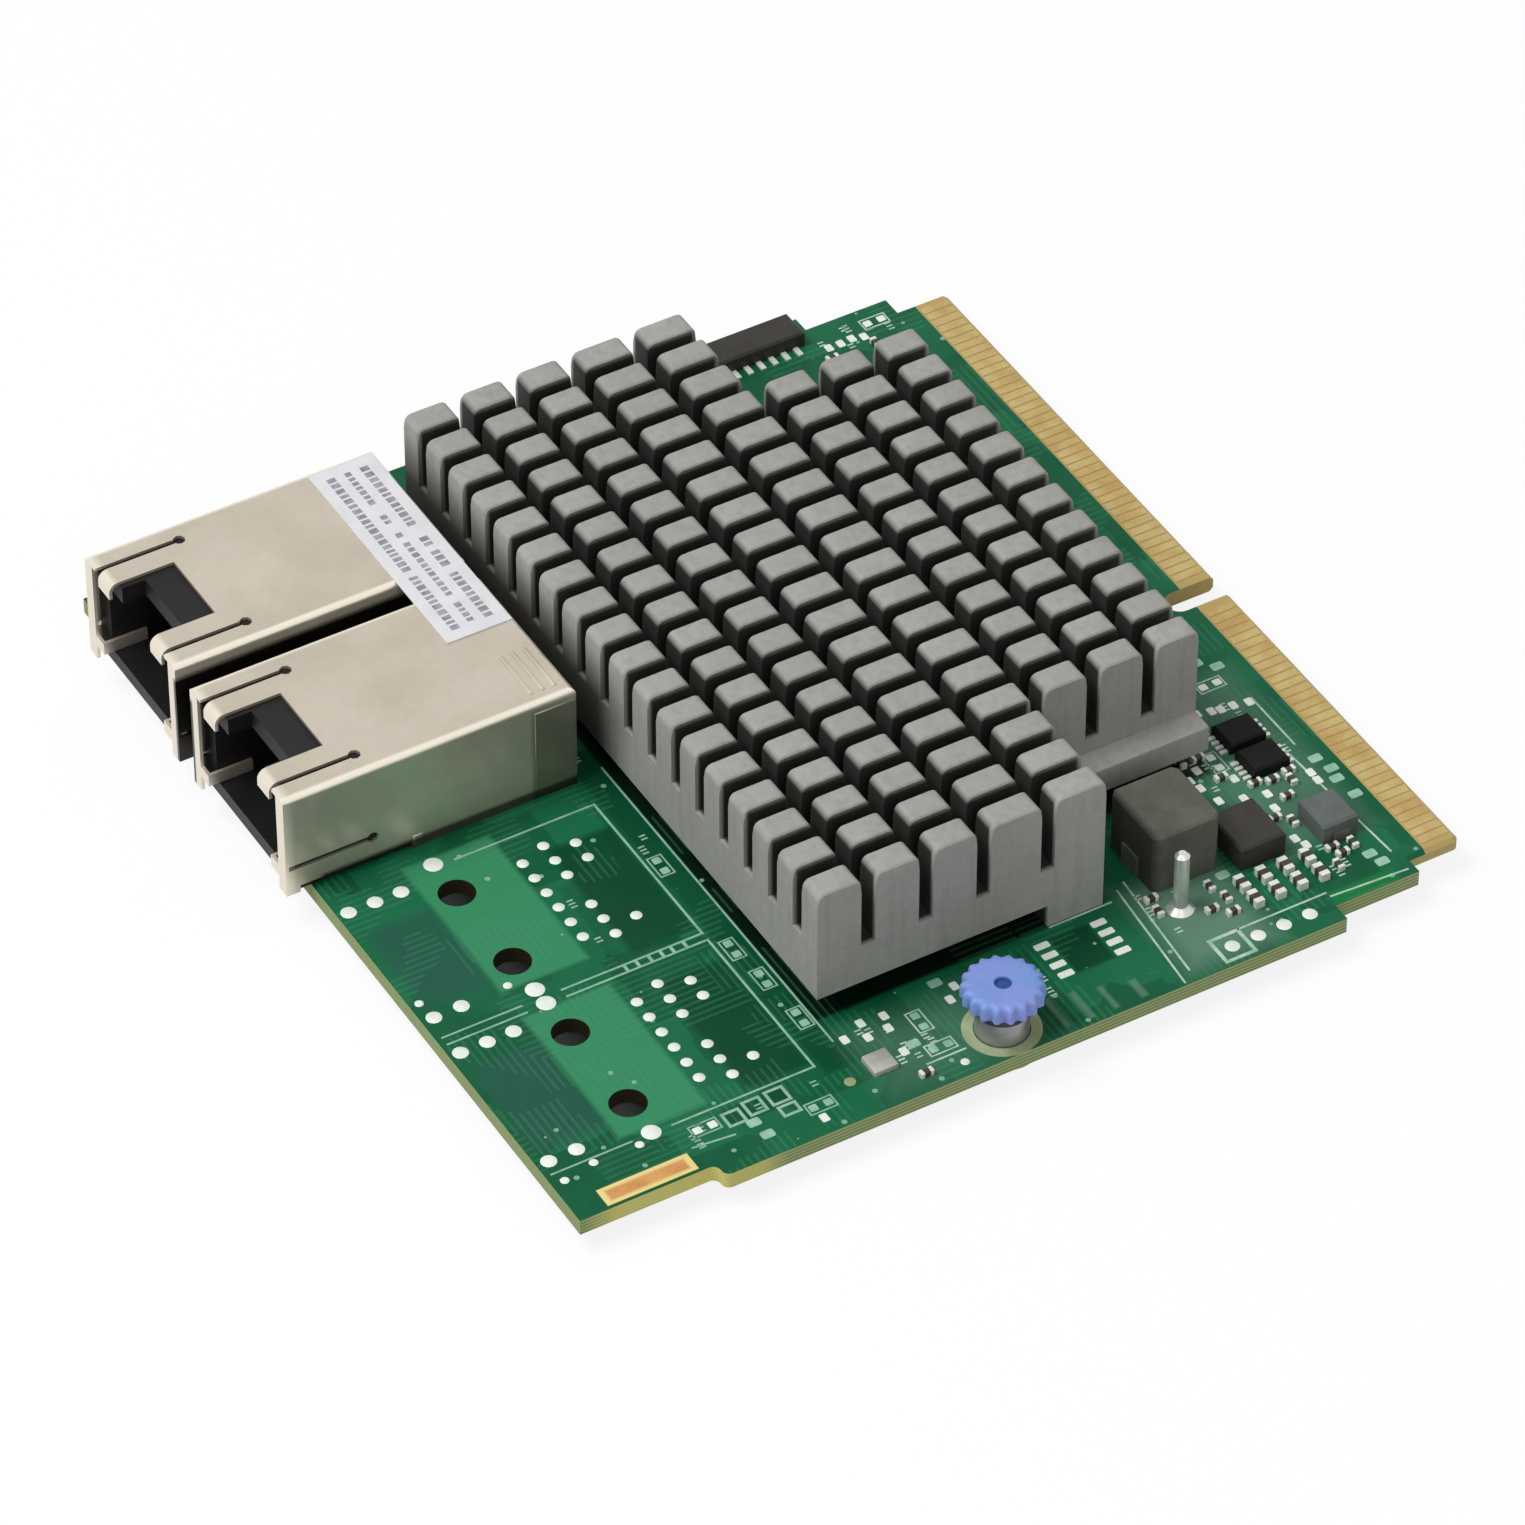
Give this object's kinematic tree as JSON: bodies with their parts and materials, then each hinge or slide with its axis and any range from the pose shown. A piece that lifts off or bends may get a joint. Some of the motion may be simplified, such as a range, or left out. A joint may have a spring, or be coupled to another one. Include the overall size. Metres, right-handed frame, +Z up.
{
  "type": "mezzanine network card",
  "caption": "Server mezzanine network card with shielded network jacks, a finned heat sink, a gold edge connector and a blue captive thumbscrew.",
  "frame": {"origin": "centre of the card's outline, on the plane that the screw heads under the board rest on", "axes": "+Z up from the board's component side; the network jacks face -Y and the gold edge +Y; +X is to the right seen from the jacks"},
  "size_m": [0.0903, 0.088, 0.0175],
  "materials": {
    "solder_mask": "satin green solder mask over laminate",
    "gold": "satin gold plating",
    "tin_plate": "satin tin plate, slightly warm",
    "black_plastic": "matte",
    "contact_gold": "bright",
    "solder": "bright tin",
    "label_paper": "matte paper",
    "heat_sink_grey": "matte grey anodised, slightly mottled",
    "screw_steel": "satin zinc",
    "substrate": "satin",
    "lid_metal": "satin nickel",
    "pad_rubber": "matte",
    "ferrite": "matte pressed powder",
    "post_tin": "bright tin",
    "chip_black": "matte moulded",
    "grey_resin": "matte moulded",
    "ceramic": "fired ceramic",
    "blue_plastic": "satin periwinkle blue",
    "spring_steel": "drawn wire"
  },
  "bodies": {
    "board": {"circuit_board": "solder_mask", "edge_contacts_top": "gold", "edge_contacts_bottom": "gold", "ground_strips": "gold", "jack_1_shield": "tin_plate", "jack_2_shield": "tin_plate", "jack_1_housing": "black_plastic", "jack_2_housing": "black_plastic", "jack_1_contacts": "contact_gold", "jack_2_contacts": "contact_gold", "jack_1_solder_tails": "solder", "jack_2_solder_tails": "solder", "jack_label": "label_paper", "heat_sink": "heat_sink_grey", "heat_sink_screws": "screw_steel", "controller_substrate": "substrate", "controller_lid": "lid_metal", "thermal_pad": "pad_rubber", "power_inductor": "ferrite", "power_inductor_terminals": "solder", "metal_post": "post_tin", "regulator_block": "black_plastic", "mosfets": "chip_black", "mosfet_leads": "solder", "tantalum_capacitor": "grey_resin", "tantalum_ends": "solder", "chip_capacitors": "ceramic", "chip_capacitor_ends": "solder", "underside_capacitors": "ceramic", "underside_capacitor_ends": "solder", "sideband_connector": "chip_black", "sideband_contacts": "solder", "thumbscrew_ferrule": "post_tin"},
    "press": {"thumbscrew_spring": "spring_steel"},
    "thumbscrew": {"thumbscrew_knob": "blue_plastic", "thumbscrew_screw": "screw_steel"}
  },
  "joints": [
    {"name": "thumbscrew_press", "type": "slide", "parent": "board", "child": "press", "axis": [0, 0, -1], "range_m": [0, 0.002], "stiffness_N_per_m": 150, "springref_m": -0.001, "deforming": ["thumbscrew_spring"]},
    {"name": "thumbscrew_turn", "type": "hinge", "parent": "press", "child": "thumbscrew", "pos_m": [0.0417, -0.00097, 0.00597], "axis": [0, 0, 1], "continuous": true}
  ]
}
